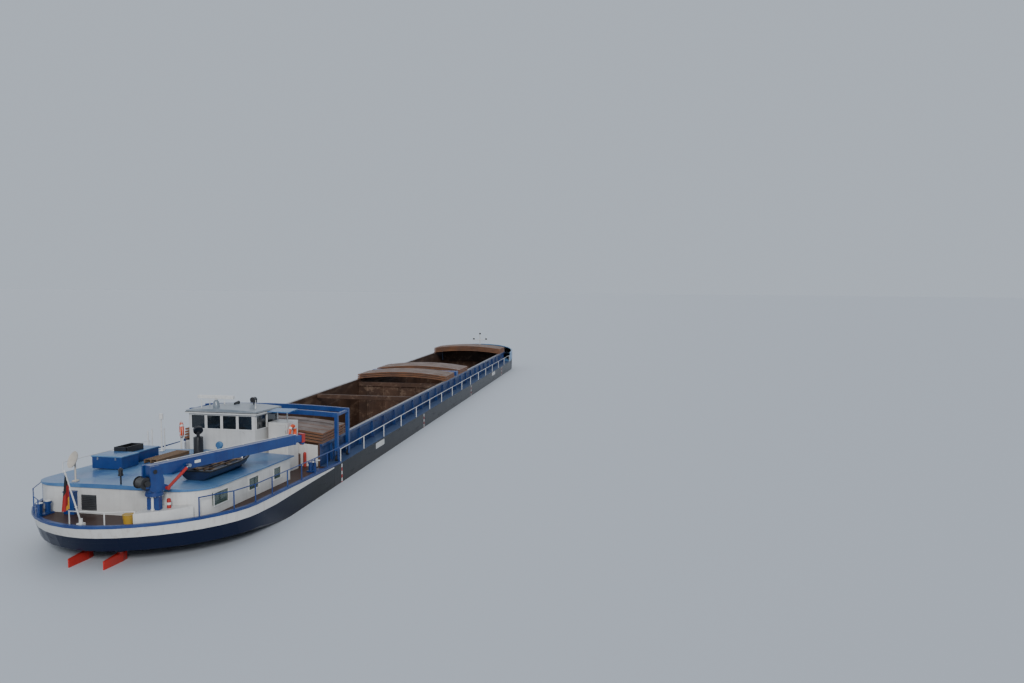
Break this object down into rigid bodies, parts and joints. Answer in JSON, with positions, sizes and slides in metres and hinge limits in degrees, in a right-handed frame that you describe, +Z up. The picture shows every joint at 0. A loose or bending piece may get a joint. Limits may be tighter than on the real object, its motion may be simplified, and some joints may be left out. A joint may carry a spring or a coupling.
{
  "type": "inland motor cargo vessel, 1:2 scale model",
  "caption": "Dry-cargo river vessel with open hold, folding deck crane, travelling hatch gantry, wheelhouse and deckhouse aft, as a half-size model.",
  "frame": {"origin": "under the middle of the flat bottom, at bottom height", "axes": "+X forward along the keel, +Y to port, +Z up"},
  "size_m": [33.77, 4.4008, 3.1937],
  "materials": {
    "hull_black": "semi-gloss black paint, scuffed",
    "royal_blue_paint": "gloss royal blue paint",
    "navy_paint": "gloss navy paint",
    "roof_blue_paint": "weathered mid-blue deck paint",
    "white_paint": "off-white gloss paint with rust streaks",
    "hatch_tan_paint": "faded tan paint over rust",
    "rusty_steel": "rough rust",
    "red_paint": "gloss red paint",
    "black_paint": "satin black paint",
    "bronze": "dull bronze",
    "bare_steel": "bare turned steel",
    "wheel_rubber": "matte black rubber",
    "brown_deck_paint": "matte red-brown deck paint",
    "window_glass": "dark clear glass",
    "orange_plastic": "orange lifebuoy plastic",
    "yellow_paint": "matte yellow",
    "rope_yellow": "laid yellow rope",
    "flag_cloth": "limp striped cloth",
    "weathered_wood": "weathered wood"
  },
  "bodies": {
    "root": {"hull_aft": "hull_black", "hull_side_starboard": "hull_black", "hull_side_port": "hull_black", "hold_floor": "rusty_steel", "hull_fore": "hull_black", "cap_rail_stern": "royal_blue_paint", "bow_bulwark": "royal_blue_paint", "coaming_starboard": "royal_blue_paint", "coaming_port": "royal_blue_paint", "coaming_aft": "white_paint", "coaming_fore": "royal_blue_paint", "hold_tie_beam": "rusty_steel", "hold_bulkhead": "hatch_tan_paint", "hatch_cross_beam": "royal_blue_paint", "hatch_stack_aft": "hatch_tan_paint", "hatch_stack_middle_aft": "hatch_tan_paint", "hatch_stack_middle_fore": "hatch_tan_paint", "hatch_stack_fore": "hatch_tan_paint", "house_wall_aft": "white_paint", "house_wall_starboard": "white_paint", "house_wall_port": "white_paint", "house_wall_front": "white_paint", "house_roof": "roof_blue_paint", "crane_platform": "white_paint", "crane_column": "royal_blue_paint", "wheelhouse_wall_aft": "white_paint", "wheelhouse_wall_front": "white_paint", "wheelhouse_wall_starboard": "white_paint", "wheelhouse_wall_port": "white_paint", "wheelhouse_roof": "roof_blue_paint", "entrance_booth": "white_paint", "signal_mast": "white_paint", "satellite_dish": "white_paint", "flagstaff": "white_paint", "flag": "flag_cloth", "exhaust_stack": "black_paint", "roof_lockers": "royal_blue_paint", "tender": "navy_paint", "side_rail_starboard": "white_paint", "side_rail_port": "white_paint", "windlass": "navy_paint"},
    "propeller": {"propeller": "bronze"},
    "rudder_port": {"rudder_port": "red_paint"},
    "rudder_starboard": {"rudder_starboard": "red_paint"},
    "crane_head": {"crane_head": "royal_blue_paint"},
    "crane_boom": {"crane_boom": "royal_blue_paint"},
    "boom_extension": {"boom_extension": "royal_blue_paint"},
    "ram_barrel": {"ram_barrel": "red_paint"},
    "ram_rod": {"ram_rod": "bare_steel"},
    "gantry": {"gantry": "royal_blue_paint"},
    "gantry_wheel_aft_starboard": {"gantry_wheel_aft_starboard": "wheel_rubber"},
    "gantry_wheel_fore_starboard": {"gantry_wheel_fore_starboard": "wheel_rubber"},
    "gantry_wheel_aft_port": {"gantry_wheel_aft_port": "wheel_rubber"},
    "gantry_wheel_fore_port": {"gantry_wheel_fore_port": "wheel_rubber"},
    "radar_scanner": {"radar_scanner": "white_paint"},
    "blue_board": {"blue_board": "roof_blue_paint"},
    "bow_mast": {"bow_mast": "white_paint"},
    "booth_door": {"booth_door": "white_paint"},
    "wheelhouse_door_port": {"wheelhouse_door_port": "white_paint"},
    "foredeck_hatch_lid": {"foredeck_hatch_lid": "royal_blue_paint"}
  },
  "joints": [
    {"name": "propeller_spin", "type": "hinge", "parent": "root", "child": "propeller", "pos_m": [-14.9, 0, 0.44], "axis": [1, 0, 0], "continuous": true},
    {"name": "rudder_port_turn", "type": "hinge", "parent": "root", "child": "rudder_port", "pos_m": [-15.975, 0.325, 0.6], "axis": [0, 0, 1], "range_deg": [-40, 40]},
    {"name": "rudder_starboard_turn", "type": "hinge", "parent": "root", "child": "rudder_starboard", "pos_m": [-15.975, -0.325, 0.6], "axis": [0, 0, 1], "range_deg": [-40, 40]},
    {"name": "crane_slew", "type": "hinge", "parent": "root", "child": "crane_head", "pos_m": [-15.975, -0.99, 2.2], "axis": [0, 0, 1], "range_deg": [-110, 0]},
    {"name": "boom_luff", "type": "hinge", "parent": "crane_head", "child": "crane_boom", "pos_m": [-16.03047, -0.96714, 2.565], "axis": [-0.3811, -0.9245, 0], "range_deg": [0, 60]},
    {"name": "boom_extend", "type": "slide", "parent": "crane_boom", "child": "boom_extension", "axis": [0.9245, -0.3811, 0], "range_m": [0, 1.3]},
    {"name": "ram_barrel_swing", "type": "hinge", "parent": "crane_head", "child": "ram_barrel", "pos_m": [-15.89729, -1.19509, 2.25], "axis": [-0.3811, -0.9245, 0], "range_deg": [0, 47]},
    {"name": "ram_rod_slide", "type": "slide", "parent": "ram_barrel", "child": "ram_rod", "axis": [0.747, -0.3079, 0.5893], "range_m": [0, 0.349]},
    {"name": "gantry_travel", "type": "slide", "parent": "root", "child": "gantry", "axis": [1, 0, 0], "range_m": [0, 23.2]},
    {"name": "gantry_wheel_aft_starboard_spin", "type": "hinge", "parent": "gantry", "child": "gantry_wheel_aft_starboard", "pos_m": [-10.035, -1.88, 1.4953], "axis": [0, 1, 0], "continuous": true},
    {"name": "gantry_wheel_fore_starboard_spin", "type": "hinge", "parent": "gantry", "child": "gantry_wheel_fore_starboard", "pos_m": [-9.315, -1.88, 1.4953], "axis": [0, 1, 0], "continuous": true},
    {"name": "gantry_wheel_aft_port_spin", "type": "hinge", "parent": "gantry", "child": "gantry_wheel_aft_port", "pos_m": [-10.035, 1.88, 1.4953], "axis": [0, 1, 0], "continuous": true},
    {"name": "gantry_wheel_fore_port_spin", "type": "hinge", "parent": "gantry", "child": "gantry_wheel_fore_port", "pos_m": [-9.315, 1.88, 1.4953], "axis": [0, 1, 0], "continuous": true},
    {"name": "radar_spin", "type": "hinge", "parent": "root", "child": "radar_scanner", "pos_m": [-11.7, 0.275, 3.0937], "axis": [0, 0, 1], "continuous": true},
    {"name": "blue_board_swing", "type": "hinge", "parent": "root", "child": "blue_board", "pos_m": [-11.05, -1.1, 2.8], "axis": [0, 1, 0], "range_deg": [0, 90]},
    {"name": "bow_mast_fold", "type": "hinge", "parent": "root", "child": "bow_mast", "pos_m": [16.125, 0, 2.02], "axis": [0, -1, 0], "range_deg": [0, 90]},
    {"name": "booth_door_swing", "type": "hinge", "parent": "root", "child": "booth_door", "pos_m": [-11.4975, -1.285, 2], "axis": [0, 0, 1], "range_deg": [0, 110]},
    {"name": "wheelhouse_door_port_swing", "type": "hinge", "parent": "root", "child": "wheelhouse_door_port", "pos_m": [-10.915, 0.7975, 2.1], "axis": [0, 0, -1], "range_deg": [0, 100]},
    {"name": "foredeck_hatch_lid_open", "type": "hinge", "parent": "root", "child": "foredeck_hatch_lid", "pos_m": [14.945, 0.825, 1.6526], "axis": [0, 1, 0], "range_deg": [0, 85]}
  ],
  "couplings": [
    {"joint": "rudder_starboard_turn", "follows": "rudder_port_turn", "ratio": 1},
    {"joint": "ram_barrel_swing", "follows": "boom_luff", "ratio": 0.77507},
    {"joint": "ram_rod_slide", "follows": "boom_luff", "m_per_rad": 0.32811}
  ]
}
